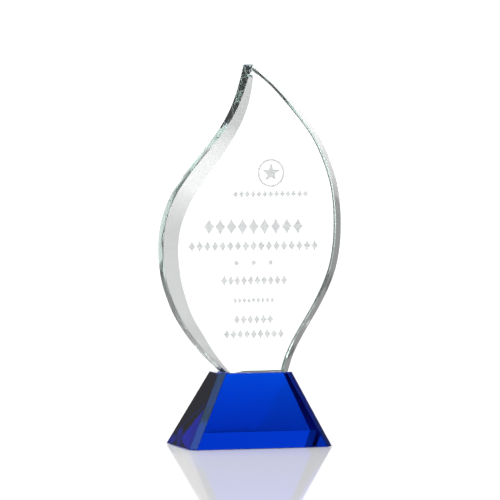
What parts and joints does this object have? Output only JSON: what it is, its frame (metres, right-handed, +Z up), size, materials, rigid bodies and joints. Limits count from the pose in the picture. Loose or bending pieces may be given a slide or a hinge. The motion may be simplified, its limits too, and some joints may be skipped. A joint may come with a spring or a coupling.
{
  "type": "crystal award",
  "caption": "Flame-shaped clear glass plate with one bevelled edge, bonded upright on a blue glass truncated-pyramid block.",
  "frame": {"origin": "centre of the blue block's underside, on the surface the award stands on", "axes": "+Z up through the flame's tip, +X across the plate's width, the engraved front face looks toward -Y"},
  "size_m": [0.1091, 0.0562, 0.2287],
  "materials": {
    "clear_crystal": "polished",
    "blue_crystal": "polished",
    "clear_adhesive": "cured, clear"
  },
  "bodies": {
    "root": {"flame_plate": "clear_crystal", "base_block": "blue_crystal", "bond_film": "clear_adhesive"}
  },
  "joints": []
}
